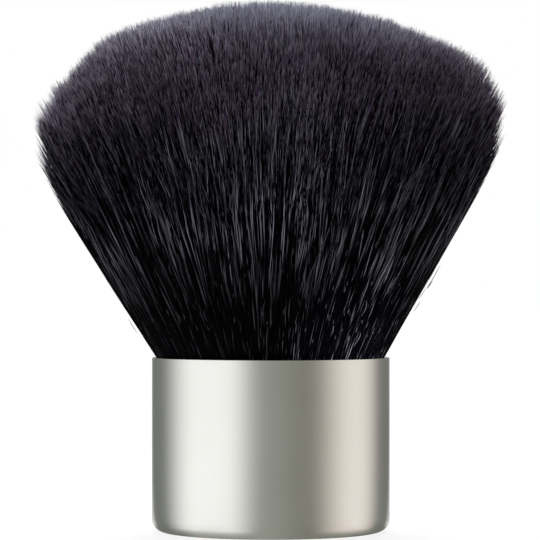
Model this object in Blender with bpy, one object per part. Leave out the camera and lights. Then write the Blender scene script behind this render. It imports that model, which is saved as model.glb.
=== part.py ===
"""Foundation brush of the short kabuki kind: a drawn metal handle and a domed head of soft fibres.

Run it with blender --background --python part.py, or from Blender's text editor.
All sizes are in metres. +Z is up, and the origin is the centre of the flat base that the brush stands on.
"""

import math
import random

import bmesh
import bpy
from mathutils import Matrix

# Handle shell: one drawn aluminium cup, closed at the bottom
HANDLE_DIAMETER = 0.0320
HANDLE_HEIGHT = 0.0234
SHELL_WALL = 0.0006
SHELL_FLOOR = 0.0008
BASE_ROUND = 0.00175
LIP_EDGE = 0.00012
LIP_FLARE_WIDTH = 0.0003
LIP_FLARE_DEPTH = 0.0005

# Glue line: the gap that each glued or seated face keeps to its neighbour
GLUE_LINE = 0.0003

# Weight: a steel disc glued to the shell's floor, so that the small base carries the wide head
WEIGHT_THICKNESS = 0.0050
WEIGHT_CHAMFER = 0.0005

# Inner cup: a moulded cup that stands on the weight and holds the knot of fibres
CUP_WALL = 0.0012
CUP_FLOOR = 0.0012
CUP_FREE_WALL = 0.0010
CUP_CHAMFER = 0.0003
CUP_RIB_COUNT = 6
CUP_RIB_WIDTH = 0.0016
CUP_RIB_DEPTH = 0.0006
CUP_RIB_LEAD = 0.0015

# Resin: the cast plug under the fibres' ends
RESIN_DEPTH = 0.0040
RESIN_CHAMFER = 0.0003

# Binding: a thread wound round the root of the knot
THREAD_DIAMETER = 0.0004
THREAD_TURNS = 4

# Knot of fibres: a slice of its bound root, and the strands that rise from it
ROOT_SLICE = 0.0020
STRAND_RINGS = 8
CORE_STRANDS = 6
STRAND_GAP = 0.0003
STRAND_SCATTER = 0.0002
RING_TURN_SHARE = 0.4
TIP_LENGTH = 0.0032
TIP_SCATTER = 0.0005
SCATTER_SEED = 7

# Outline of the head, with heights measured up from the handle's rim
BELLY_RISE = 0.0188
BELLY_DIAMETER = 0.0536
SHOULDER_RISE = 0.0282
HEAD_DIAMETER = 0.0621
DOME_RISE = 0.0192
DOME_SIDE_POWER = 1.82
DOME_TOP_POWER = 2.5

# Fineness of the round shapes
SHELL_SEGMENTS = 72
INNER_SEGMENTS = 48
ARC_STEPS = 6
SHARP_ANGLE = math.radians(32)
WELD = 1e-7

# Radii and heights that follow from the sizes above, from the outside in and from the base up
SHELL_RADIUS = HANDLE_DIAMETER / 2
SHELL_BORE = SHELL_RADIUS - SHELL_WALL
INNER_ROUND = max(BASE_ROUND - SHELL_WALL, SHELL_WALL / 2)
WEIGHT_RADIUS = SHELL_BORE - INNER_ROUND - GLUE_LINE
CUP_RADIUS = SHELL_BORE - GLUE_LINE
CUP_BODY_RADIUS = CUP_RADIUS - CUP_RIB_DEPTH
CUP_BORE = CUP_BODY_RADIUS - CUP_WALL
PLUG_RADIUS = CUP_BORE - GLUE_LINE
BINDING_BORE = PLUG_RADIUS - THREAD_DIAMETER
SLICE_RADIUS = BINDING_BORE - GLUE_LINE
WEIGHT_BASE = SHELL_FLOOR + GLUE_LINE
WEIGHT_TOP = WEIGHT_BASE + WEIGHT_THICKNESS
CUP_BASE = WEIGHT_TOP + GLUE_LINE
CUP_SEAT = CUP_BASE + CUP_FLOOR
PLUG_BASE = CUP_SEAT + GLUE_LINE
PLUG_TOP = PLUG_BASE + RESIN_DEPTH
SLICE_BASE = PLUG_TOP + GLUE_LINE
SLICE_TOP = SLICE_BASE + ROOT_SLICE
CUP_TOP = SLICE_TOP + CUP_FREE_WALL
BINDING_HEIGHT = THREAD_DIAMETER * THREAD_TURNS
BINDING_BASE = (SLICE_BASE + SLICE_TOP - BINDING_HEIGHT) / 2
BELLY_HEIGHT = HANDLE_HEIGHT + BELLY_RISE
SHOULDER_HEIGHT = HANDLE_HEIGHT + SHOULDER_RISE

# The head's surface as (height, radius) corners: bound root, handle's lip, belly and shoulder
HEAD_OUTLINE = (
    (SLICE_TOP, SLICE_RADIUS - STRAND_GAP / 2),
    (HANDLE_HEIGHT, SHELL_BORE - GLUE_LINE),
    (BELLY_HEIGHT, BELLY_DIAMETER / 2),
    (SHOULDER_HEIGHT, HEAD_DIAMETER / 2),
)


def clear_scene():
    """Empties the startup scene."""
    for obj in list(bpy.data.objects):
        bpy.data.objects.remove(obj, do_unlink=True)


def material(name, colour, roughness, metallic=0.0):
    """A Principled material for one sub-part."""
    made = bpy.data.materials.new(name)
    made.use_nodes = True
    shader = made.node_tree.nodes["Principled BSDF"]
    shader.inputs["Base Color"].default_value = (*colour, 1.0)
    shader.inputs["Roughness"].default_value = roughness
    shader.inputs["Metallic"].default_value = metallic
    made.diffuse_color = (*colour, 1.0)
    return made


def object_from(bm, name, finish, smooth=True):
    """Turns a bmesh into a named object with its finish."""
    bmesh.ops.recalc_face_normals(bm, faces=bm.faces)
    mesh = bpy.data.meshes.new(name)
    bm.to_mesh(mesh)
    bm.free()
    mesh.materials.append(finish)
    if smooth:
        mesh.shade_smooth()
        mesh.set_sharp_from_angle(angle=SHARP_ANGLE)
    obj = bpy.data.objects.new(name, mesh)
    bpy.context.scene.collection.objects.link(obj)
    return obj


def corner_arc(centre, radius, start, end):
    """Points (r, z) along a rounded corner from angle start to angle end, in degrees."""
    angles = [math.radians(start + (end - start) * step / ARC_STEPS) for step in range(ARC_STEPS + 1)]
    return [(centre[0] + radius * math.cos(a), centre[1] + radius * math.sin(a)) for a in angles]


def turned(profile, segments, closed=False):
    """Spins an outline of (r, z) points round the Z axis, as a lathe would."""
    bm = bmesh.new()
    corners = [bm.verts.new((r, 0, z)) for r, z in profile]
    edges = [bm.edges.new(pair) for pair in zip(corners, corners[1:])]
    if closed:
        edges.append(bm.edges.new((corners[-1], corners[0])))
    bmesh.ops.spin(
        bm,
        geom=corners + edges,
        cent=(0, 0, 0),
        axis=(0, 0, 1),
        angle=2 * math.pi,
        steps=segments,
        use_merge=True,
    )
    bmesh.ops.remove_doubles(bm, verts=bm.verts, dist=WELD)
    return bm


def handle_shell():
    """The drawn cup: flat floor, rounded base corner, straight wall and a lip opened on its inner side."""
    outline = [(0, 0)]
    outline += corner_arc((SHELL_RADIUS - BASE_ROUND, BASE_ROUND), BASE_ROUND, -90, 0)
    outline += [
        (SHELL_RADIUS, HANDLE_HEIGHT - LIP_EDGE),
        (SHELL_RADIUS - LIP_EDGE, HANDLE_HEIGHT),
        (SHELL_BORE + LIP_FLARE_WIDTH, HANDLE_HEIGHT),
        (SHELL_BORE, HANDLE_HEIGHT - LIP_FLARE_DEPTH),
    ]
    outline += corner_arc((SHELL_BORE - INNER_ROUND, SHELL_FLOOR + INNER_ROUND), INNER_ROUND, 0, -90)
    outline += [(0, SHELL_FLOOR)]
    finish = material("satin_champagne_metal", (0.62, 0.60, 0.55), 0.32, 1.0)
    return object_from(turned(outline, SHELL_SEGMENTS), "handle_shell", finish)


def weight_disc():
    """The steel disc that lies on the shell's floor."""
    outline = [
        (0, WEIGHT_BASE),
        (WEIGHT_RADIUS - WEIGHT_CHAMFER, WEIGHT_BASE),
        (WEIGHT_RADIUS, WEIGHT_BASE + WEIGHT_CHAMFER),
        (WEIGHT_RADIUS, WEIGHT_TOP - WEIGHT_CHAMFER),
        (WEIGHT_RADIUS - WEIGHT_CHAMFER, WEIGHT_TOP),
        (0, WEIGHT_TOP),
    ]
    finish = material("zinc_plated_steel", (0.55, 0.56, 0.58), 0.45, 1.0)
    return object_from(turned(outline, INNER_SEGMENTS), "weight_disc", finish)


def cup_ribs(finish):
    """Upright ribs for the cup's outside, sloped at the bottom where they lead it into the shell."""
    root = CUP_BODY_RADIUS - CUP_WALL / 2
    foot = CUP_BASE + CUP_CHAMFER
    head = CUP_TOP - CUP_RIB_LEAD
    outline = [(root, foot), (CUP_RADIUS, foot + CUP_RIB_LEAD), (CUP_RADIUS, head), (root, head)]
    bm = bmesh.new()
    for index in range(CUP_RIB_COUNT):
        near_side = [bm.verts.new((r, -CUP_RIB_WIDTH / 2, z)) for r, z in outline]
        swept = bmesh.ops.extrude_face_region(bm, geom=[bm.faces.new(near_side)])["geom"]
        far_side = [part for part in swept if isinstance(part, bmesh.types.BMVert)]
        bmesh.ops.translate(bm, verts=far_side, vec=(0, CUP_RIB_WIDTH, 0))
        # Turned half a pitch off the X axis, so that no rib lies on a seam of the turned wall.
        turn = Matrix.Rotation(2 * math.pi * (index + 0.5) / CUP_RIB_COUNT, 3, "Z")
        bmesh.ops.rotate(bm, verts=near_side + far_side, cent=(0, 0, 0), matrix=turn)
    return object_from(bm, "cup_ribs", finish, smooth=False)


def inner_cup():
    """The moulded cup, centred in the shell by the ribs on its outside."""
    outline = [
        (0, CUP_BASE),
        (CUP_BODY_RADIUS - CUP_CHAMFER, CUP_BASE),
        (CUP_BODY_RADIUS, CUP_BASE + CUP_CHAMFER),
        (CUP_BODY_RADIUS, CUP_TOP - CUP_CHAMFER),
        (CUP_BODY_RADIUS - CUP_CHAMFER, CUP_TOP),
        (CUP_BORE + CUP_CHAMFER, CUP_TOP),
        (CUP_BORE, CUP_TOP - CUP_CHAMFER),
        (CUP_BORE, CUP_SEAT),
        (0, CUP_SEAT),
    ]
    finish = material("moulded_plastic", (0.08, 0.08, 0.085), 0.5)
    cup = object_from(turned(outline, INNER_SEGMENTS), "inner_cup", finish)
    ribs = cup_ribs(finish)
    ribs.hide_render = True
    ribs.display_type = "WIRE"
    join = cup.modifiers.new("ribs", "BOOLEAN")
    join.operation = "UNION"
    join.object = ribs
    return cup


def resin_plug():
    """The cast resin that bonds the fibres' ends to the cup."""
    outline = [
        (0, PLUG_BASE),
        (PLUG_RADIUS, PLUG_BASE),
        (PLUG_RADIUS, PLUG_TOP - RESIN_CHAMFER),
        (PLUG_RADIUS - RESIN_CHAMFER, PLUG_TOP),
        (0, PLUG_TOP),
    ]
    finish = material("cast_resin", (0.42, 0.33, 0.18), 0.25)
    return object_from(turned(outline, INNER_SEGMENTS), "resin_plug", finish)


def root_binding():
    """The wound thread as one ring, with a ridge for each turn."""
    outline = [(BINDING_BORE, BINDING_BASE)]
    for turn in range(THREAD_TURNS):
        valley = BINDING_BASE + THREAD_DIAMETER * turn
        outline += [
            (PLUG_RADIUS - THREAD_DIAMETER / 2, valley),
            (PLUG_RADIUS, valley + THREAD_DIAMETER / 2),
        ]
    outline += [
        (PLUG_RADIUS - THREAD_DIAMETER / 2, BINDING_BASE + BINDING_HEIGHT),
        (BINDING_BORE, BINDING_BASE + BINDING_HEIGHT),
    ]
    finish = material("waxed_thread", (0.72, 0.70, 0.64), 0.8)
    return object_from(turned(outline, INNER_SEGMENTS, closed=True), "root_binding", finish)


def spread(height):
    """Radius of the head's surface at this height, as if its sides went on past the shoulder."""
    index = 1
    while index < len(HEAD_OUTLINE) - 1 and height > HEAD_OUTLINE[index][0]:
        index += 1
    (low, low_radius), (high, high_radius) = HEAD_OUTLINE[index - 1], HEAD_OUTLINE[index]
    return low_radius + (high_radius - low_radius) * (height - low) / (high - low)


def dome_radius(height):
    """Radius of the domed end at this height, from the shoulder up."""
    share = min(max((height - SHOULDER_HEIGHT) / DOME_RISE, 0), 1)
    return HEAD_DIAMETER / 2 * (1 - share**DOME_TOP_POWER) ** (1 / DOME_SIDE_POWER)


def radial_share(point):
    """How far out a point of the fanned strands lies, from 0 at the axis to 1 at the head's surface."""
    return math.hypot(point.x, point.y) / spread(point.z)


def tip_height(share):
    """Height at which the strand at this share of the radius reaches the dome."""
    low, high = SHOULDER_HEIGHT, SHOULDER_HEIGHT + DOME_RISE
    while high - low > WELD:
        middle = (low + high) / 2
        if share * spread(middle) < dome_radius(middle):
            low = middle
        else:
            high = middle
    return low


def root_grid(bm, scatter):
    """Fills the slice's upper face with rings of triangles, one for each strand, and returns them."""
    pitch = SLICE_RADIUS / STRAND_RINGS
    inner = [bm.verts.new((0, 0, SLICE_TOP))]
    turn = 0
    for ring in range(1, STRAND_RINGS + 1):
        count = CORE_STRANDS * ring
        # Each ring is turned against the one inside it, so that no straight gap crosses the head.
        turn += RING_TURN_SHARE * 2 * math.pi / count
        # The outermost ring stays regular, so that the head is centred on its axis.
        stray = STRAND_SCATTER if ring < STRAND_RINGS else 0
        outer = []
        for step in range(count):
            angle = turn + 2 * math.pi * step / count
            x = ring * pitch * math.cos(angle) + scatter.uniform(-stray, stray)
            y = ring * pitch * math.sin(angle) + scatter.uniform(-stray, stray)
            outer.append(bm.verts.new((x, y, SLICE_TOP)))
        for step, corner in enumerate(outer):
            sector, place = divmod(step, ring)
            next_corner = outer[(step + 1) % len(outer)]
            near = inner[(sector * (ring - 1) + place) % len(inner)]
            bm.faces.new((near, corner, next_corner))
            if place < ring - 1:
                next_near = inner[(sector * (ring - 1) + place + 1) % len(inner)]
                bm.faces.new((near, next_corner, next_near))
        inner = outer
    return list(bm.faces)


def close_slice(bm):
    """Gives the slice its side and its flat underside."""
    rim = [edge for edge in bm.edges if edge.is_boundary]
    side = bmesh.ops.extrude_edge_only(bm, edges=rim)["geom"]
    lower = [part for part in side if isinstance(part, bmesh.types.BMVert)]
    bmesh.ops.translate(bm, verts=lower, vec=(0, 0, SLICE_BASE - SLICE_TOP))
    bmesh.ops.holes_fill(bm, edges=[edge for edge in bm.edges if edge.is_boundary])


def fan_out(vert, height):
    """Carries a strand's corner up to this height, and out as the head spreads."""
    grow = spread(height) / spread(vert.co.z)
    vert.co = (vert.co.x * grow, vert.co.y * grow, height)


def grown(bm, faces, heights):
    """Extrudes each strand's end face up to its next height."""
    ends = bmesh.ops.extrude_discrete_faces(bm, faces=faces)["faces"]
    for face, height in zip(ends, heights):
        for vert in face.verts:
            fan_out(vert, height)
    return ends


def bristle_head():
    """The fibres as thick three-sided strands that fan out together and end in points on the dome."""
    scatter = random.Random(SCATTER_SEED)
    bm = bmesh.new()
    strands = root_grid(bm, scatter)
    close_slice(bm)
    bmesh.ops.inset_individual(bm, faces=strands, thickness=STRAND_GAP / 2, use_even_offset=True)
    shares = [radial_share(face.calc_center_median()) for face in strands]
    # Strands on the outside bend at the belly, and those inside go straight from the lip to their tips.
    outer_share = 1 - 1 / STRAND_RINGS
    groups = {
        (HANDLE_HEIGHT, BELLY_HEIGHT): [i for i, share in enumerate(shares) if share > outer_share],
        (HANDLE_HEIGHT,): [i for i, share in enumerate(shares) if share <= outer_share],
    }
    for bends, members in groups.items():
        stray = TIP_SCATTER if len(bends) == 1 else 0
        tips = [tip_height(shares[i]) + scatter.uniform(-stray, stray) for i in members]
        ends = [strands[i] for i in members]
        for bend in bends:
            ends = grown(bm, ends, [bend] * len(ends))
        ends = grown(bm, ends, [tip - TIP_LENGTH for tip in tips])
        for point in bmesh.ops.poke(bm, faces=ends)["verts"]:
            fan_out(point, point.co.z + TIP_LENGTH)
    print(f"bristle_head has {len(strands)} strands")
    finish = material("black_fibre", (0.012, 0.011, 0.016), 0.4)
    return object_from(bm, "bristle_head", finish, smooth=False)


clear_scene()
handle_shell()
weight_disc()
inner_cup()
resin_plug()
root_binding()
bristle_head()
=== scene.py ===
# %% [markdown]
# # A short, wide foundation brush
#
# The brush is a weighted metal cup that stands on a table, with a domed head of black fibres
# that fans out to almost twice the cup's width. The fibres are thin enough to count one by one,
# so most of this lesson is about making many strands from one rule.
#
# Every length in the CAD model is in metres. The rules of the head are written in millimetres
# and turned to metres once, where the points are placed.

import math

import bpy
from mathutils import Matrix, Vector


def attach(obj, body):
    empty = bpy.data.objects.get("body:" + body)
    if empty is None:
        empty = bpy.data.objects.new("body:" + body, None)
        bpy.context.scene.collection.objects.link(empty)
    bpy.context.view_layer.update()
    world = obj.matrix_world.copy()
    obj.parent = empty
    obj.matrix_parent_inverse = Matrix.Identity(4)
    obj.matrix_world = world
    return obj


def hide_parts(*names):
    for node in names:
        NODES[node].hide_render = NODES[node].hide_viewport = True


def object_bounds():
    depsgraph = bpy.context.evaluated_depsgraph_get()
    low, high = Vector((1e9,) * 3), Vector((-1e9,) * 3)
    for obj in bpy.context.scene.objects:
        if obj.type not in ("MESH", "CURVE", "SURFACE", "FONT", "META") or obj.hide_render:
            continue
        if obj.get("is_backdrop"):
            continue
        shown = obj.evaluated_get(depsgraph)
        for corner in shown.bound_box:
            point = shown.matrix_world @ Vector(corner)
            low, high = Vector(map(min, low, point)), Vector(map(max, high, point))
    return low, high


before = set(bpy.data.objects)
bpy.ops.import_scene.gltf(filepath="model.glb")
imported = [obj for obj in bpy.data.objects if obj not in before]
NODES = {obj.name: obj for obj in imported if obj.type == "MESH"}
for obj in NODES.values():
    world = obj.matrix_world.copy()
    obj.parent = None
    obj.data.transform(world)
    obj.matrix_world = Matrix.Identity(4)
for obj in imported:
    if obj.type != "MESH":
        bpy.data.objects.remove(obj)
CAD_BOX = [list(corner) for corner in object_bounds()]
MM = 0.001
print("CAD pieces:", sorted(NODES))

# %% [markdown]
# ## The camera
#
# The photograph was taken from close to table height, with the brush filling the picture from
# its base to the tips. A long lens keeps the cup's rim and base almost straight. The camera
# looks up by less than half a degree.

# %% Camera
eye = bpy.data.objects.new("camera", bpy.data.cameras.new("camera"))
eye.data.lens = 189.9
eye.data.sensor_width = 36
eye.data.clip_start = 0.01
eye.data.clip_end = 20
eye.location = (-0.00011, -0.384, 0.0322)
eye.rotation_euler = (math.radians(90.44), 0, 0)
bpy.context.scene.collection.objects.link(eye)
bpy.context.scene.camera = eye
bpy.context.scene.view_settings.view_transform = "Standard"
print("camera", tuple(round(x, 4) for x in eye.location))

# %% [markdown]
# ## Writing node trees as sums
#
# A node tree with forty Math nodes is hard to read, but the sum behind it is short. The class
# below stands for one output of a node. Adding, multiplying or raising it to a power adds the
# Math node that does so, and `node` adds any other kind of node. It works on materials and on
# Geometry Nodes alike.


# %% A socket that can be calculated with
class Wire:
    """One output of a node. Arithmetic on it adds Math nodes to the same tree."""

    def __init__(self, tree, socket=None):
        self.tree = tree
        self.socket = socket

    def node(self, kind, settings=None, inputs=None, output=0):
        """Adds a node: its settings first, then the values or links of its inputs."""
        made = self.tree.nodes.new(kind)
        for name, value in (settings or {}).items():
            setattr(made, name, value)
        for key, value in (inputs or {}).items():
            found = made.inputs[key] if isinstance(key, int) else None
            for socket in made.inputs:
                if found is None and socket.name == key and socket.enabled:
                    found = socket
            if isinstance(value, Wire):
                self.tree.links.new(value.socket, found)
            else:
                found.default_value = value
        if isinstance(output, int):
            shown = [socket for socket in made.outputs if socket.enabled]
            return Wire(self.tree, shown[output])
        return Wire(self.tree, made.outputs[output])

    def sum(self, operation, *values):
        """A Math node on these numbers and wires."""
        settings = {"operation": operation}
        return self.node("ShaderNodeMath", settings, dict(enumerate(values)))

    def __add__(self, other):
        return self.sum("ADD", self, other)

    def __radd__(self, other):
        return self.sum("ADD", other, self)

    def __sub__(self, other):
        return self.sum("SUBTRACT", self, other)

    def __rsub__(self, other):
        return self.sum("SUBTRACT", other, self)

    def __mul__(self, other):
        return self.sum("MULTIPLY", self, other)

    def __rmul__(self, other):
        return self.sum("MULTIPLY", other, self)

    def __truediv__(self, other):
        return self.sum("DIVIDE", self, other)

    def __rtruediv__(self, other):
        return self.sum("DIVIDE", other, self)

    def __pow__(self, other):
        return self.sum("POWER", self, other)

    def at_least(self, low):
        return self.sum("MAXIMUM", self, low)

    def at_most(self, high):
        return self.sum("MINIMUM", self, high)

    def whole(self):
        return self.sum("FLOOR", self)

    def ramp(self, low, high):
        """0 below low, 1 above high, and smooth between them."""
        ends = {"Value": self, "From Min": low, "From Max": high}
        return self.node("ShaderNodeMapRange", {"interpolation_type": "SMOOTHSTEP"}, ends)

    def vector(self, *numbers):
        """A vector from up to three numbers. What isn't given is 0."""
        return self.node("ShaderNodeCombineXYZ", None, dict(enumerate(numbers)))

    def parts(self):
        """The three numbers of a vector."""
        split = self.tree.nodes.new("ShaderNodeSeparateXYZ")
        self.tree.links.new(self.socket, split.inputs[0])
        return [Wire(self.tree, socket) for socket in split.outputs]

    def blend(self, first, second):
        """First colour where this is 0, second where it is 1."""
        made = self.tree.nodes.new("ShaderNodeMix")
        made.data_type = "RGBA"
        self.tree.links.new(self.socket, made.inputs[0])
        for socket, value in ((made.inputs[6], first), (made.inputs[7], second)):
            if isinstance(value, Wire):
                self.tree.links.new(value.socket, socket)
            else:
                socket.default_value = (*value, 1)
        return Wire(self.tree, made.outputs[2])


print("a Wire is ready")


# %% A finish with a Principled shader
class Finish:
    """A material with one Principled shader, and a Wire to start its sums from."""

    def __init__(self, name, **plain):
        self.material = bpy.data.materials.new(name)
        self.material.use_nodes = True
        tree = self.material.node_tree
        self.start = Wire(tree)
        self.shader = tree.nodes["Principled BSDF"]
        for key, value in plain.items():
            self.set(key.replace("_", " "), value)

    def set(self, key, value):
        """A plain value goes on the socket itself, and a Wire is linked to it."""
        socket = self.shader.inputs[key]
        if isinstance(value, Wire):
            self.start.tree.links.new(value.socket, socket)
        else:
            socket.default_value = (*value, 1) if isinstance(value, tuple) else value

    def place(self):
        """Where a point of the surface is on the object, in metres."""
        return self.start.node("ShaderNodeTexCoord", output="Object")

    def noise(self, size, stretch=(1, 1, 1), detail=2.0):
        """Soft noise from 0 to 1, with patches of this size in metres."""
        scale = Vector(stretch) / size
        inputs = {0: self.place(), "Scale": scale}
        moved = self.start.node("ShaderNodeMapping", None, inputs)
        inputs = {"Vector": moved, "Scale": 1.0, "Detail": detail}
        return self.start.node("ShaderNodeTexNoise", None, inputs)

    def bump(self, height, strength, distance):
        inputs = {"Height": height, "Strength": strength, "Distance": distance}
        self.set("Normal", self.start.node("ShaderNodeBump", None, inputs))


print("a Finish is ready")

# %% [markdown]
# ## Light, floor and tent
#
# A polished cup shows the room more than its own colour. In the photograph it reflects a large
# soft light on the left, a warmer one on the right, and a dark room between them and behind.
# The white around the brush would fill the metal with white, so a dark tent stands round it,
# with windows where the room is bright. Only reflections see the tent: it casts no shadow and
# hides nothing. Most lamps are for the fibres alone, and the cup mirrors only the first one.

# %% World
WHITE = (1.0, 1.0, 1.0)
SKY_LEVEL = 0.02


def sees_background(start):
    """1 for what looks at the background: the camera, a reflection, or a look through glass."""
    rays = start.tree.nodes.new("ShaderNodeLightPath").outputs
    kinds = ("Is Camera Ray", "Is Glossy Ray", "Is Transmission Ray")
    camera, glossy, clear = (Wire(start.tree, rays[kind]) for kind in kinds)
    return (camera + glossy + clear).at_most(1.0)


world = bpy.data.worlds.new("studio")
bpy.context.scene.world = world
world.use_nodes = True
sky = Wire(world.node_tree)
background = world.node_tree.nodes["Background"]
background.inputs["Color"].default_value = (*WHITE, 1)
level = SKY_LEVEL + sees_background(sky) * (1 - SKY_LEVEL)
world.node_tree.links.new(level.socket, background.inputs["Strength"])
print("sky level for diffuse light:", SKY_LEVEL)

# %% Soft lights
CENTRE = Vector((0, 0, 0.035))


def around(azimuth, distance, height):
    """A point round the brush. Azimuth 0 is the camera's side and 90 is the right."""
    turn = math.radians(azimuth)
    return Vector((math.sin(turn) * distance, -math.cos(turn) * distance, height))


def soft_light(name, place, size, radiance, colour):
    """A rectangle that glows evenly. Radiance 1 looks white to a mirror."""
    data = bpy.data.lights.new(name, "AREA")
    data.shape = "RECTANGLE"
    data.size, data.size_y = size
    data.energy = radiance * math.pi * size[0] * size[1]
    data.color = colour
    light = bpy.data.objects.new(name, data)
    light.location = place
    light.rotation_euler = (CENTRE - place).to_track_quat("-Z", "Y").to_euler()
    light.visible_camera = False
    bpy.context.scene.collection.objects.link(light)
    return light


# The cup mirrors this lamp.
soft_light("light_left", around(-58, 0.36, 0.96), (0.24, 0.24), 6.0, (0.98, 0.99, 1.0))

# The next ones are for the fibres alone, and the cup doesn't mirror them.
for name, place, size, radiance in (
    ("light_above", around(180, 0.60, 0.75), 0.5, 19.5),
    ("light_side", around(-82, 0.80, 0.45), 0.3, 2.5),
    ("light_front", around(-45, 0.48, 0.94), 0.24, 3.2),
    ("light_fan", around(14, 0.75, 0.55), 0.3, 1.8),
    ("light_top", around(0, 0.06, 1.0), 0.3, 13.0),
    ("light_low", around(30, 0.90, 0.02), 0.3, 0.5),
):
    lamp = soft_light(name, place, (size, size), radiance, (0.99, 0.99, 1.0))
    lamp.visible_glossy = False


def spot_light(name, place, target, cone, power):
    """A narrow lamp on one part of the head. A larger soft size would smear its cone."""
    data = bpy.data.lights.new(name, "SPOT")
    data.spot_size = math.radians(cone)
    data.spot_blend = 1.0
    data.shadow_soft_size = 0.005
    data.energy = power
    light = bpy.data.objects.new(name, data)
    light.location = place
    light.rotation_euler = (Vector(target) - place).to_track_quat("-Z", "Y").to_euler()
    light.visible_camera = light.visible_glossy = False
    bpy.context.scene.collection.objects.link(light)


spot_light("spot_middle", around(0, 0.90, 0.12), (-0.001, 0.0, 0.047), 2.3, 5.0)
spot_light("spot_low", around(35, 0.90, 0.03), (0.011, -0.012, 0.0240), 1.6, 30.0)
spot_light("spot_left", around(-40, 0.60, 0.70), (-0.022, -0.010, 0.056), 2.2, 3.5)


# %% Floor
# Steps round the floor and the tent.
ROUND = 64


def stage_piece(name, vertices, faces, material):
    mesh = bpy.data.meshes.new(name)
    mesh.from_pydata(vertices, [], faces)
    mesh.materials.append(material)
    piece = bpy.data.objects.new(name, mesh)
    bpy.context.scene.collection.objects.link(piece)
    piece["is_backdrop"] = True
    return piece


# White to what sees the background, and dark to the light that would bounce off it.
paper = Finish("white_paper", Roughness=0.9, Specular_IOR_Level=0.1)
settings, inputs = {"operation": "LENGTH"}, {0: paper.place()}
away = paper.start.node("ShaderNodeVectorMath", settings, inputs, output="Value")
far = away.ramp(0.05, 0.30)
paper.set("Base Color", far.blend((0.12, 0.12, 0.12), (0.0, 0.0, 0.0)))
paper.set("Emission Color", WHITE)
paper.set("Emission Strength", sees_background(paper.start) * (0.86 + 0.14 * far))
ring = [tuple(around(360 * i / ROUND, 6.0, -0.00002)) for i in range(ROUND)]
stage_piece("floor", ring, [tuple(reversed(range(ROUND)))], paper.material)
print("floor 12 m across")

# %% A dark tent that only reflections see
TENT_RADIUS = 0.30
TENT_CENTRE = 0.035
MAT_HEIGHT = 0.00005


def tent():
    """A dome with a floor of its own. Its cloth is clear where the room is bright."""
    material = bpy.data.materials.new("tent")
    material.use_nodes = True
    material.node_tree.nodes.clear()
    start = Wire(material.node_tree)
    x, y, z = start.node("ShaderNodeTexCoord", output="Object").parts()
    out = (x * x + y * y) ** 0.5
    turn = start.sum("ARCTAN2", x, 0 - y) * math.degrees(1)
    # Next to the cup a mirrored ray meets the mat before it has gone far sideways.
    turn = turn / (1 - 0.008 / out.at_least(0.016))
    rise = start.sum("ARCTAN2", z - TENT_CENTRE, out) * math.degrees(1)
    left = turn.ramp(-133, -78) * (1 - turn.ramp(-43, -6)) * (1 - rise.ramp(24, 44))
    right = turn.ramp(36, 88) * (1 - turn.ramp(94, 134)) * (1 - rise.ramp(16, 34))
    above = rise.ramp(66, 80)
    behind = 0.7 * start.sum("ABSOLUTE", turn).ramp(162, 174) * (1 - rise.ramp(8, 20))
    under = 1 - out.ramp(0.0149, 0.0176)
    opened = (left + right * 0.58 + behind) * (1 - under) + above
    front = turn.ramp(-8, 34).blend((0.300, 0.310, 0.280), (0.219, 0.221, 0.193))
    cloth = start.sum("ABSOLUTE", turn).ramp(75, 105).blend(front, (0.17, 0.18, 0.165))
    shade = (right * (1 - under)).blend(cloth, (0.66, 0.53, 0.44))
    bright = 1 - 0.85 * rise.ramp(15, 40)
    dark = start.node("ShaderNodeEmission", None, {"Color": shade, "Strength": bright})
    clear = start.node("ShaderNodeBsdfTransparent")
    mixed = start.node("ShaderNodeMixShader", None, {0: opened.at_most(1.0), 1: dark, 2: clear})
    output = material.node_tree.nodes.new("ShaderNodeOutputMaterial")
    material.node_tree.links.new(mixed.socket, output.inputs["Surface"])
    section = [(r, MAT_HEIGHT) for r in (0.0147, 0.02, 0.06, TENT_RADIUS)]
    for step in range(1, 13):
        angle = math.radians(90 * step / 12.5)
        section.append((TENT_RADIUS * math.cos(angle), TENT_RADIUS * math.sin(angle)))
    wide = len(section)
    points = [tuple(around(360 * i / ROUND, r, z)) for i in range(ROUND) for r, z in section]
    faces = []
    for i in range(ROUND):
        k = (i + 1) % ROUND
        for j in range(wide - 1):
            faces.append((i * wide + j, i * wide + j + 1, k * wide + j + 1, k * wide + j))
    made = stage_piece("tent", points, faces, material)
    made.visible_camera = made.visible_diffuse = made.visible_shadow = False
    made.visible_transmission = made.visible_volume_scatter = False


tent()
print("a dark tent with two windows")


# %% [markdown]
# ## Turned pieces
#
# The cup was drawn from sheet metal, so its form is one section turned about the axis. The
# Spin tool or a Screw modifier would do it. Here the rings are written out, which makes the
# poles single points and gives every ring as many steps as a smooth reflection needs.


# %% Turn a section about the axis
def arc(centre, radius, first, last, steps):
    """Points of an arc in the section plane. Angles are in degrees, 0 outwards and 90 up."""
    turns = [math.radians(first + (last - first) * i / steps) for i in range(steps + 1)]
    return [(centre[0] + radius * math.cos(t), centre[1] + radius * math.sin(t)) for t in turns]


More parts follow.
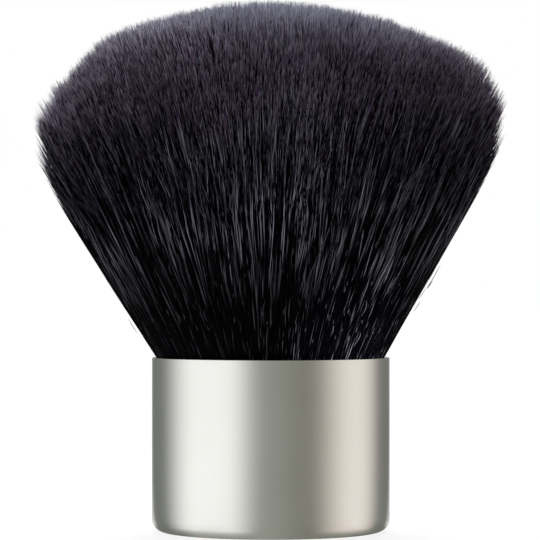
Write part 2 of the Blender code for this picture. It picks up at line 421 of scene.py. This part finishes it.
def turned(name, section, steps, material):
    """Turns (radius, height) points in millimetres. A radius of 0 is one point on the axis."""
    points, rows = [], []
    for radius, height in section:
        row = []
        for i in range(steps if radius > 0 else 1):
            turn = math.tau * i / steps
            row.append(len(points))
            x, y = radius * math.cos(turn), radius * math.sin(turn)
            points.append((x * MM, y * MM, height * MM))
        rows.append(row)
    faces = []
    for below, above in zip(rows, rows[1:]):
        for i in range(steps):
            k = (i + 1) % steps
            around_face = ((below, i), (below, k), (above, k), (above, i))
            corners = [row[step % len(row)] for row, step in around_face]
            faces.append(tuple(dict.fromkeys(corners)))
    mesh = bpy.data.meshes.new(name)
    mesh.from_pydata(points, [], [face for face in faces if len(face) > 2])
    mesh.shade_smooth()
    mesh.materials.append(material)
    piece = bpy.data.objects.new(name, mesh)
    bpy.context.scene.collection.objects.link(piece)
    return piece


print("ready to turn")

# %% [markdown]
# ## Satin metal
#
# The finish is anodised over a fine blasted surface: smooth to the eye, but it blurs what it
# mirrors. A grain far smaller than a fingertip, faint cloudiness from handling, and a slightly
# brighter worn edge at the lip keep it from looking like plastic.

# %% Handle finish
metal = Finish("satin_champagne_metal", Metallic=1.0)
cloud = metal.noise(0.009, detail=3.0)
drawn = metal.noise(0.0005, stretch=(1.0, 1.0, 0.12), detail=2.0)
grain = metal.noise(0.00016, detail=1.0)
_, _, height = metal.place().parts()
tone = (cloud * 0.5 + drawn * 0.3 + grain * 0.2).ramp(0.25, 0.75)
plain = tone.blend((0.858, 0.853, 0.818), (0.887, 0.883, 0.850))
worn = height.ramp(0.02310, 0.02335)
metal.set("Base Color", worn.blend(plain, (0.90, 0.89, 0.86)))
metal.set("Roughness", 0.25 + (cloud - 0.5) * 0.06 + (grain - 0.5) * 0.05)
metal.bump(grain * 0.6 + drawn * 0.4, 0.06, 0.00002)
print("finish:", metal.material.name)

# %% Handle
RADIUS, BORE, HEIGHT = 16.0, 15.4, 23.4
FOOT, LIP, FLOOR, INNER_FOOT = 1.75, 0.12, 0.8, 1.15
# The section goes up the outside, over the lip and down the bore.
section = [(0, 0), (9.0, 0)]
section += arc((RADIUS - FOOT, FOOT), FOOT, -90, 0, 14)
section += [(RADIUS, 2.2), (RADIUS, 12.0), (RADIUS, 22.8)]
section += arc((RADIUS - LIP, HEIGHT - LIP), LIP, 0, 90, 5)
section += [(BORE + 0.34, HEIGHT), (BORE + 0.26, HEIGHT - 0.03), (BORE + 0.03, HEIGHT - 0.45)]
section += [(BORE, HEIGHT - 0.6), (BORE, 12.0), (BORE, 2.2)]
section += arc((BORE - INNER_FOOT, FLOOR + INNER_FOOT), INNER_FOOT, 0, -90, 8)
section += [(9.0, FLOOR), (0, FLOOR)]
handle = turned("handle_cup", section, 256, metal.material)
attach(handle, "root")
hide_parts("handle_shell")
print("handle:", len(handle.data.polygons), "faces")

# %% [markdown]
# ## What the handle holds
#
# A steel weight, a moulded cup, cast resin and a ring of thread hold the root of the fibres.
# The head hides all of them, but a reader who takes the brush apart should find each with its
# own finish.

# %% Finishes of the pieces inside
steel = Finish("zinc_plated_steel", Metallic=1.0)
turning = steel.noise(0.0009, stretch=(1, 1, 6), detail=2.0)
steel.set("Base Color", turning.blend((0.50, 0.51, 0.54), (0.62, 0.62, 0.63)))
steel.set("Roughness", 0.36 + turning * 0.16)
steel.bump(turning, 0.15, 0.00003)

plastic = Finish("black_moulded_plastic")
spark = plastic.noise(0.00025, detail=2.0)
plastic.set("Base Color", spark.blend((0.020, 0.020, 0.022), (0.034, 0.034, 0.036)))
plastic.set("Roughness", 0.42 + spark * 0.18)
plastic.bump(spark, 0.25, 0.00004)

resin = Finish("cast_resin", IOR=1.55, Coat_Weight=0.5)
flow = resin.noise(0.004, detail=3.0)
resin.set("Base Color", flow.blend((0.40, 0.29, 0.12), (0.56, 0.43, 0.22)))
resin.set("Roughness", 0.16 + flow * 0.14)

thread = Finish("waxed_thread")
fuzz = thread.noise(0.00008, detail=2.0)
thread.set("Base Color", fuzz.blend((0.50, 0.47, 0.40), (0.74, 0.71, 0.64)))
thread.set("Roughness", 0.55 + fuzz * 0.25)

for node, finish in (("weight_disc", steel), ("inner_cup", plastic), ("resin_plug", resin)):
    NODES[node].data.materials.clear()
    NODES[node].data.materials.append(finish.material)
    print(node, "is finished as", finish.material.name)

# %% [markdown]
# ## The shape of the head
#
# Two rules give the whole head. Seen from the side, the outermost fibre follows a gentle curve
# from the rim to the shoulder, and the dome above the shoulder is a flattened ellipse. Each
# fibre leaves the rim at its own share of the bore and fans out, almost straight, to its share
# of the dome. The lowest ones end along the underside of the shoulder, on the first curve.

# %% Rules of the head, in millimetres
RIM, SHOULDER, WIDEST = HEIGHT, 51.63, 31.3
DOME, DOME_SIDE, DOME_TOP = 19.16, 1.819, 0.4
ROOT_RADIUS, LOWEST_ROOT = 15.3, 14.0
# Fibres from this share outwards end below the dome, the outermost by this much.
LOW_FROM, LOW_REACH = 0.95, 7.5
RIGHT_LIFT = 1.3
# Neighbours meet in tufts of the first size, and share a tone in locks of the second.
TUFT, LOCK = 0.72, 0.22


def side(height):
    """Radius of the outermost fibre at this height. It works on numbers and on wires."""
    above = height - RIM
    return BORE + 0.660 * above - 0.00125 * above * above - 0.0000884 * above * above * above


def tip_height(inside):
    """Height of the dome, where inside is 1 - share ** DOME_SIDE at a share of its radius."""
    return SHOULDER + DOME * inside**DOME_TOP


print("radius at the rim", side(RIM), "and at the shoulder", round(side(SHOULDER), 2))

# %% [markdown]
# ## The fibres' colour
#
# The fibres are black with a violet cast, and each narrows to an almost clear point. Light is
# painted into that colour too: bright glints along the strands, and pale tips where light would
# shine through them, paler on the dome's top. A pattern on the strands can't follow their place
# in the room, because more than sixty thousand of them share one map. So the map itself carries
# what the colour needs: across it lie 128 columns of one tone each, from the inner fibres to the
# outer ones, and along it runs the distance from the tip.

# %% Fibre finish
COLUMNS = 128
REACH = 50.0


def column_noise(number):
    """A random number from 0 to 1 for each value of this one."""
    return fibre.start.node("ShaderNodeTexWhiteNoise", {"noise_dimensions": "1D"}, {"W": number})


def strand_noise(apart, along_strand, detail):
    """Soft noise along a strand, with nothing in common between two columns."""
    inputs = {"Vector": fibre.start.vector(column * apart, along_strand), "Scale": 1.0}
    return fibre.start.node("ShaderNodeTexNoise", None, {**inputs, "Detail": detail})


fibre = Finish("black_tapered_fibre", IOR=1.5, Specular_IOR_Level=0.03)
across, along, _ = fibre.start.node("ShaderNodeUVMap", {"uv_map": "OFBake"}).parts()
column = (across * COLUMNS).whole()
from_tip = (1 - along) * REACH
chance, second = column_noise(column), column_noise(column + 0.37)
painted_glint_noise = strand_noise(7.3, from_tip * (0.08 + from_tip * 0.003), 1.0)
painted_speck = strand_noise(3.1, from_tip * 0.8, 0.0)
# Painted glints: highlights painted into the fibres' colour, strong near the tips and near the rim,
# and weak between them. Painted specks add short bright dashes.
threshold = 0.42 + 0.10 * from_tip.ramp(6.0, 17.0)
strength = 1.9 - 1.4 * from_tip.ramp(5.0, 15.0) + 2.0 * from_tip.ramp(20.0, 27.0)
painted_glint = ((painted_glint_noise - threshold) / 0.22).ramp(0.0, 1.0) * second.ramp(0.42, 0.90) * strength
painted_glint = painted_glint + painted_speck.ramp(0.74, 0.86) * 0.4
# The last column belongs to the stray and loose hairs, which get more painted glint, as if they
# caught more light.
painted_glint = (painted_glint + column.sum("GREATER_THAN", column, COLUMNS - 1.5) * 0.4).at_most(1.0)
outwards = column / COLUMNS
black = chance.blend((0.0002, 0.0002, 0.0010), (0.0014, 0.0012, 0.0044))
# Painted glints brighten the black body and the violet band below the tips.
body = painted_glint.blend(black, (0.72, 0.73, 0.86))
violet_with_painted_glint = painted_glint.blend((0.0034, 0.0003, 0.0046), (0.42, 0.20, 0.52))
# Painted light at the tips: pale where light would shine through them from above and behind, paler
# on the dome's top and darker on its sides.
tip_painted_top_light = (second**0.9).blend((0.08, 0.075, 0.125), (0.92, 0.90, 1.0))
tip_painted_side_shade = second.ramp(0.45, 1.0).blend((0.0018, 0.0003, 0.0028), (0.27, 0.125, 0.34))
tip_painted_light = outwards.ramp(0.20, 0.50).blend(tip_painted_top_light, tip_painted_side_shade)
# The lowest fibres end along the underside of the shoulder, and have hardly any violet.
reached = from_tip + outwards.ramp(0.50, 0.68) * 4.0
colour = reached.ramp(1.2, 4.0).blend(violet_with_painted_glint, body)
colour = from_tip.ramp(0.5, 2.4).blend(tip_painted_light, colour)
# The last millimetre of each tip is painted pale as well, standing in for light through its
# thinnest part, and paler on the dome's top.
point_painted_top_light = second.blend((0.40, 0.43, 0.60), (0.88, 0.92, 1.0))
point_painted_side_light = (second**0.9).blend((0.08, 0.08, 0.12), (0.92, 0.87, 1.0))
point = outwards.ramp(0.10, 0.42).blend(point_painted_top_light, point_painted_side_light)
fibre.set("Base Color", from_tip.ramp(0.05, 1.0).blend(point, colour))
fibre.set("Roughness", 0.26 + chance * 0.16)
print("finish:", fibre.material.name)


# %% [markdown]
# ## One recipe for every strand
#
# Geometry Nodes makes the strands. Points come first, several to each strand. Their index says
# which strand they belong to and how far along it they are, and one sum gives the place of
# each. Curves through the points then get a three-sided section that narrows to the tip.


# %% A Geometry Nodes tree with named inputs
class Recipe:
    """A tree whose named inputs can be set for each piece that it makes."""

    def __init__(self, name, **sizes):
        self.tree = bpy.data.node_groups.new(name, "GeometryNodeTree")
        sockets = self.tree.interface
        sockets.new_socket("Geometry", in_out="OUTPUT", socket_type="NodeSocketGeometry")
        self.keys = {}
        for key, value in sizes.items():
            kind = "NodeSocketInt" if isinstance(value, int) else "NodeSocketFloat"
            socket = sockets.new_socket(key, in_out="INPUT", socket_type=kind)
            socket.default_value = value
            self.keys[key] = socket.identifier
        self.entry = self.tree.nodes.new("NodeGroupInput")
        self.start = Wire(self.tree)

    def size(self, key):
        return Wire(self.tree, self.entry.outputs[key])

    def chance(self, low, high, each, seed):
        """A random number for each thing, from a fixed seed."""
        inputs = {"Min": low, "Max": high, "ID": each, "Seed": seed}
        return self.start.node("FunctionNodeRandomValue", None, inputs)

    def end(self, geometry, material):
        real = self.start.node("GeometryNodeRealizeInstances", None, {0: geometry})
        inputs = {"Geometry": real, "Material": material}
        done = self.start.node("GeometryNodeSetMaterial", None, inputs)
        output = self.tree.nodes.new("NodeGroupOutput")
        self.tree.links.new(done.socket, output.inputs[0])

    def make(self, name, **values):
        """Runs the tree on an empty mesh and keeps the result as a plain mesh."""
        holder = bpy.data.objects.new(name + "_holder", bpy.data.meshes.new(name + "_holder"))
        bpy.context.scene.collection.objects.link(holder)
        modifier = holder.modifiers.new("recipe", "NODES")
        modifier.node_group = self.tree
        for key, value in values.items():
            modifier[self.keys[key]] = value
        graph = bpy.context.evaluated_depsgraph_get()
        shape = holder.evaluated_get(graph)
        mesh = bpy.data.meshes.new_from_object(
            shape, preserve_all_data_layers=True, depsgraph=graph
        )
        mesh.name = name
        bpy.data.objects.remove(holder)
        piece = bpy.data.objects.new(name, mesh)
        bpy.context.scene.collection.objects.link(piece)
        return piece


print("a Recipe is ready")

# %% The strands' recipe: counting
strands = Recipe(
    "strands",
    Strands=1000,
    Rings=7,
    Pieces=1,
    Piece=0,
    Inner=0.0,
    Outer=1.0,
    Shown=60.0,
    Thickness=0.11,
    Wave=0.2,
    Lean=1.2,
    Clump=0.5,
    Stray=0.0,
)
rings = strands.size("Rings")
index = strands.start.node("GeometryNodeInputIndex")
strand = (index / rings).whole()
ring = index - strand * rings
along = ring / (rings - 1)
serial = strand * strands.size("Pieces") + strands.size("Piece")
total = strands.size("Strands") * strands.size("Pieces")
inner, outer = strands.size("Inner"), strands.size("Outer")
even = (serial + 0.5) / total
share = (inner * inner + (outer * outer - inner * inner) * even) ** 0.5
print("points are counted off by strand and ring")

# %% The strands' recipe: tips and roots
GOLDEN = math.radians(137.50776)
# Each strand is turned on from the last by the golden angle, which fills the disc evenly.
turn = serial * GOLDEN + strands.chance(-0.02, 0.02, serial, 1)
spread = (share * (1 + 0.11 * (1 - share**9))).at_most(1.0)
inside = (1 - spread**DOME_SIDE).at_least(0.0)
cos, sin = strands.start.sum("COSINE", turn), strands.start.sum("SINE", turn)
dome = tip_height(inside)
low_share = ((share - LOW_FROM) / (1 - LOW_FROM)).at_least(0.0)
# The right shoulder stands a little higher than the left one.
lift = RIGHT_LIFT * cos * spread.ramp(0.70, 0.90)
tip = dome - low_share * LOW_REACH + lift
# Neighbours meet in small tufts, and a tuft's fibres end at about the same height.
flat_x, flat_y = spread * WIDEST * cos, spread * WIDEST * sin
inputs = {"Vector": strands.start.vector(flat_x, flat_y), "Scale": 1 / TUFT, "Randomness": 1.0}
tuft = strands.start.node("ShaderNodeTexVoronoi", {"voronoi_dimensions": "2D"}, inputs, "Position")
centre_x, centre_y, _ = tuft.parts()
tuft_chance = Wire(strands.tree, tuft.socket.node.outputs["Color"]).parts()[0]
# Within a tuft, fibres of one lock share a tone.
layer = strands.start.vector(flat_x, flat_y, low_share * LOW_REACH)
inputs = {"Vector": layer, "Scale": 1 / LOCK, "Randomness": 1.0}
lock = strands.start.node("ShaderNodeTexVoronoi", {"voronoi_dimensions": "3D"}, inputs, "Color")
lock_chance = lock.parts()[0]
short = strands.chance(0.0, 1.0, serial, 2) ** 2
end = tip + (tuft_chance - 0.37) * 1.1 - short * (0.5 + 2.4 * spread**6)
root = (end - strands.size("Shown")).at_least(LOWEST_ROOT)
reach = end - root
# Rings lie closer together towards the tip, and not at the same height on every strand.
uneven = strands.chance(-0.5, 0.5, index, 3) * (along * (1 - along)) * 0.16
height = root + reach * (along + uneven) ** 0.9
from_tip = (end - height).at_least(0.0)
print("tips lie on the dome")

# %% The strands' recipe: place of each point
bend = ((height - RIM) / (tip - RIM)).at_least(0.0)
pull = strands.size("Clump") * (1 - from_tip / 7.0).at_least(0.0) ** 1.2 * (1 - 0.6 * low_share)
lean = strands.size("Lean") * bend
side_lean = lean * strands.chance(-1.0, 1.0, serial, 4)
out_lean = lean * strands.chance(-0.22, 0.06, serial, 5)


def sway(place, scale, detail):
    """A push sideways from -0.5 to 0.5, nearly the same for neighbours."""
    inputs = {"Vector": place, "Scale": scale, "Detail": detail}
    push = strands.start.node("ShaderNodeTexNoise", None, inputs, output="Color").parts()
    return push[0] - 0.5, push[1] - 0.5


slow_x, slow_y = sway(strands.start.vector(flat_x, flat_y, height * 0.35), 0.16, 1.0)
quick_place = strands.start.vector(flat_x * 1.9, flat_y * 1.9, height * 0.3)
quick_x, quick_y = sway(quick_place, 0.42, 0.0)
grow = bend**1.5
wave = strands.size("Wave") * bend**0.5
move_x = (centre_x - flat_x) * pull + slow_x * 3.0 * grow + quick_x * wave * 4
move_y = (centre_y - flat_y) * pull + slow_y * 3.0 * grow + quick_y * wave * 4
x = flat_x + move_x + out_lean * cos - side_lean * sin
y = flat_y + move_y + out_lean * sin + side_lean * cos
# Nothing stands out from the flank: a strand that leans out is brought back to its edge.
fit = (WIDEST * 1.004 / (x * x + y * y) ** 0.5).at_most(1.0)
# From its share of the bore at the rim, a strand widens to its share of the dome.
part = (height - RIM) / (tip - RIM)
bowed = part.at_least(0.0) ** (1.15 - 0.15 * spread**8) + part.at_most(0.0)
rooted = ROOT_RADIUS / WIDEST * spread**0.5
widest_here = side((tip - 0.75 * lift).at_most(SHOULDER))
ended = 1 + (widest_here / WIDEST - 1) * (low_share * 9).at_most(1.0)
ended = ended + 0.028 * spread**12 * (1 - low_share)
narrow = fit * (rooted + (ended - rooted) * bowed) * MM
# The head leans a little to the left.
drift = height.ramp(22, 27) * 0.12 + height.ramp(44, 56) * 0.10
position = strands.start.vector(x * narrow - drift * MM, y * narrow, height * MM)
print("each point has its place")

# %% From points to finished strands
SIDES = 3


def keep(recipe, geometry, name, value, kind="FLOAT", domain="POINT"):
    """Stores a number on the geometry, to be read again after the shape has changed."""
    settings = {"data_type": kind, "domain": domain}
    inputs = {"Geometry": geometry, "Name": name, "Value": value}
    return recipe.start.node("GeometryNodeStoreNamedAttribute", settings, inputs)


def kept(recipe, name):
    settings = {"data_type": "FLOAT"}
    return recipe.start.node("GeometryNodeInputNamedAttribute", settings, {"Name": name})


def skin(recipe, place, strand, along, kept_values):
    """Threads points into curves and gives them a three-sided skin and its map."""
    start, rings, count = recipe.start, recipe.size("Rings"), recipe.size("Strands")
    shape = start.node("GeometryNodePoints", None, {"Count": count * rings, "Position": place})
    for name, value in kept_values.items():
        shape = keep(recipe, shape, name, value)
    inputs = {"Points": shape, "Curve Group ID": strand, "Weight": along}
    shape = start.node("GeometryNodePointsToCurves", None, inputs)
    inputs = {"Curve": shape, "Tilt": recipe.chance(0.0, 6.28, kept(recipe, "tone"), 7)}
    shape = start.node("GeometryNodeSetCurveTilt", None, inputs)
    inputs = {"Resolution": SIDES, "Radius": recipe.size("Thickness") * 0.6 * MM}
    section = start.node("GeometryNodeCurvePrimitiveCircle", None, inputs)
    section = keep(recipe, section, "corner", start.node("GeometryNodeInputIndex"))
    inputs = {"Curve": shape, "Profile Curve": section, "Scale": kept(recipe, "taper")}
    shape = start.node("GeometryNodeCurveToMesh", None, {**inputs, "Fill Caps": True})

    # The three sides of a strand come one after the other, and all the caps come last.
    inputs = {"Value": start.node("GeometryNodeInputIndex")}
    face = start.node("GeometryNodeFieldOnDomain", {"domain": "FACE", "data_type": "FLOAT"}, inputs)
    is_cap = start.sum("LESS_THAN", count * (rings - 1) * SIDES - 0.5, face)
    which = face - (face / SIDES).whole() * SIDES
    last = start.sum("GREATER_THAN", which, SIDES - 1.5) * (1 - is_cap)
    corner = kept(recipe, "corner")
    corner = corner + SIDES * last * start.sum("LESS_THAN", corner, 0.5)
    column = kept(recipe, "tone").at_least(0.0).at_most(COLUMNS - 1.0)
    u = (column + 0.15 + 0.7 * corner / SIDES) / COLUMNS
    middle = start.sum("LESS_THAN", 0.5, corner) * start.sum("LESS_THAN", corner, 1.5)
    v = (1 - kept(recipe, "from_tip") / REACH - is_cap * middle * 0.004).at_least(0.0)
    shape = keep(recipe, shape, "OFBake", start.vector(u, v), "FLOAT2", "CORNER")
    for name in (*kept_values, "corner"):
        inputs = {"Geometry": shape, "Name": name}
        shape = start.node("GeometryNodeRemoveAttribute", None, inputs)
    inputs = {"Geometry": shape, "Shade Smooth": True}
    shape = start.node("GeometryNodeSetShadeSmooth", None, inputs)
    recipe.end(shape, fibre.material)


# A strand narrows over its last 3 mm, to a seventh of its thickness.
taper = ((from_tip + 0.06) / 3.0).at_most(1.0) ** 0.65 * 0.93 + 0.07
tone = lock_chance * 0.30 + spread * spread * 0.48 + low_share * 0.22
tone = (tone * (COLUMNS - 2)).whole() + strands.size("Stray") * COLUMNS
skin(strands, position, strand, along, {"taper": taper, "from_tip": from_tip, "tone": tone})
print("strands have a skin and a map")


# %% [markdown]
# ## A few loose hairs
#
# A real brush sheds, and some short curled hairs lie across its flank. They could be drawn one
# by one. Here the strands' skin serves again, on points that follow the flank at random heights
# and swing from side to side.

# %% Loose hairs on the flank
hairs = Recipe(
    "loose_hairs",
    Strands=30,
    Rings=10,
    Low=23.8,
    High=36.0,
    Length=2.4,
    Curl=0.26,
    Thickness=0.08,
)
index = hairs.start.node("GeometryNodeInputIndex")
rings = hairs.size("Rings")
strand = (index / rings).whole()
along = (index - strand * rings) / (rings - 1)
length = hairs.size("Length") * hairs.chance(0.4, 1.5, strand, 21)
low, high = hairs.size("Low"), hairs.size("High")
height = low + (high - low) * hairs.chance(0.0, 1.0, strand, 22) + length * along
turn = hairs.chance(-math.pi, math.pi, strand, 23)
swing = along * hairs.chance(1.0, 5.0, strand, 24) + hairs.chance(0.0, 6.3, strand, 25)
aside = hairs.start.sum("SINE", swing) * hairs.size("Curl") * along
radius = side(height) + 0.12 + 0.35 * along * (1 - along)
cos, sin = hairs.start.sum("COSINE", turn), hairs.start.sum("SINE", turn)
x, y = radius * cos - aside * sin - 0.28, radius * sin + aside * cos
position = hairs.start.vector(x * MM, y * MM, height * MM)
taper = (along * (1 - along) * 4 + 0.10).at_most(1.0)
# All of them take their colour, with its brighter painted glint, from the last column.
values = {"taper": taper, "from_tip": 8.0 + (1 - along) * length}
skin(hairs, position, strand, along, {**values, "tone": COLUMNS - 1.0 + strand * 0})
print("loose hairs lie on the flank")


# %% [markdown]
# ## The head in twelve pieces
#
# The recipe runs once for each piece, with its own sizes. Outer fibres are seen along their
# whole length and need seven rings each. Inner ones show only their tips, so four rings and a
# short length do. Each kind is dealt out over five pieces, which keeps every mesh small. Two
# more pieces hold the stray fibres and the loose hairs.

# %% Outer and inner strands
def hair_piece(piece):
    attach(piece, "root")
    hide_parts("bristle_head")
    triangles = sum(len(p.vertices) - 2 for p in piece.data.polygons)
    print(piece.name, triangles, "triangles")


PIECES = 5
outer_sizes = {
    "Strands": 4700,
    "Rings": 7,
    "Inner": 0.82,
    "Outer": 1.0,
    "Shown": 60.0,
    "Thickness": 0.118,
    "Wave": 0.45,
    "Lean": 2.3,
}
inner_sizes = {
    "Strands": 8800,
    "Rings": 4,
    "Inner": 0.0,
    "Outer": 0.84,
    "Shown": 11.0,
    "Thickness": 0.12,
    "Wave": 0.25,
    "Lean": 1.6,
}
for kind, own_sizes in (("outer", outer_sizes), ("inner", inner_sizes)):
    for i in range(PIECES):
        name = f"fibres_{kind}_{i + 1}"
        hair_piece(strands.make(name, Pieces=PIECES, Piece=i, Clump=0.5, **own_sizes))

# %% Stray fibres and loose hairs
stray = strands.make(
    "fibres_stray",
    Strands=60,
    Rings=14,
    Inner=0.97,
    Outer=0.99,
    Shown=60.0,
    Thickness=0.085,
    Wave=0.6,
    Lean=7.0,
    Clump=0.0,
    Stray=1.0,
)
hair_piece(stray)
hair_piece(hairs.make("fibres_loose"))

# %% [markdown]
# ## The heart of the head
#
# Nobody sees between the fibres to the middle of the head. A dark solid form just under the
# surface stands for the fibres there, so that light doesn't pass where the real head is dense.

# %% Core
core_finish = Finish("packed_fibre_core", Roughness=0.8)
streak = core_finish.noise(0.0003, stretch=(1, 1, 0.06), detail=2.0)
core_finish.set("Base Color", streak.blend((0.0015, 0.0015, 0.0025), (0.005, 0.005, 0.008)))
core_finish.bump(streak, 0.5, 0.0001)
# The core is a plain cone inside the flank, and above it a dome that lies CORE_DEPTH under
# the tips.
CORE_SHARE, CORE_WIDENS, CORE_RISE, CORE_DEPTH = 0.9, 15.9, 37.8, 3.4
core_section = [(0, 14.3), (6.0, 14.3)]
for height_mm in (14.6, 18, 23.4, 33, 43, 53, 57.6):
    cone = BORE + CORE_WIDENS * (height_mm - RIM) / CORE_RISE
    core_section.append((CORE_SHARE * cone, height_mm))
for step in range(14, -1, -1):
    part = step / 16
    top = tip_height(1 - part**DOME_SIDE)
    cone = BORE + CORE_WIDENS * (1 - CORE_DEPTH / (top - RIM))
    core_section.append((part * cone, top - CORE_DEPTH))
core = turned("fibres_core", core_section, 96, core_finish.material)
hair_piece(core)

# %% [markdown]
# ## The binding
#
# Before the knot was glued in, its root was bound with four turns of waxed thread. Each turn
# lies on the one before. The thread is two plies that wind round each other, and both follow
# the same helix, half a turn apart.

# %% Binding thread
coil = Recipe("coil", Steps=960, Turns=4.0, Ring=12.8, Low=12.6, Pitch=0.4, Ply=0.1, Twist=40.0)
index = coil.start.node("GeometryNodeInputIndex")
steps = coil.size("Steps")
ply = (index / steps).whole()
along = (index - ply * steps) / (steps - 1)
turn = along * coil.size("Turns") * math.tau
twist = turn * coil.size("Twist") + ply * math.pi
radius = coil.size("Ring") + coil.size("Ply") * coil.start.sum("COSINE", twist)
height = coil.size("Low") + along * coil.size("Turns") * coil.size("Pitch") * 0.75
height = height + coil.size("Ply") * coil.start.sum("SINE", twist)
x, y = radius * coil.start.sum("COSINE", turn), radius * coil.start.sum("SINE", turn)
position = coil.start.vector(x * MM, y * MM, height * MM)
shape = coil.start.node("GeometryNodePoints", None, {"Count": steps * 2, "Position": position})
inputs = {"Points": shape, "Curve Group ID": ply, "Weight": along}
shape = coil.start.node("GeometryNodePointsToCurves", None, inputs)
inputs = {"Resolution": 5, "Radius": coil.size("Ply") * 1.05 * MM}
section = coil.start.node("GeometryNodeCurvePrimitiveCircle", None, inputs)
inputs = {"Curve": shape, "Profile Curve": section, "Fill Caps": True}
shape = coil.start.node("GeometryNodeCurveToMesh", None, inputs)
inputs = {"Geometry": shape, "Shade Smooth": True}
shape = coil.start.node("GeometryNodeSetShadeSmooth", None, inputs)
coil.end(shape, thread.material)
binding = coil.make("binding_thread")
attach(binding, "root")
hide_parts("root_binding")
print("binding:", len(binding.data.polygons), "faces")

# %% [markdown]
# ## The two boxes
#
# The dressed brush should keep the size of the CAD model. Both boxes are printed, so that they
# can be compared.

# %% Print the boxes
VISUAL_BOX = [list(corner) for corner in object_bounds()]
for name, box in (("CAD", CAD_BOX), ("visual", VISUAL_BOX)):
    print(name, [round((high - low) * 1000, 1) for low, high in zip(*box)], "mm")
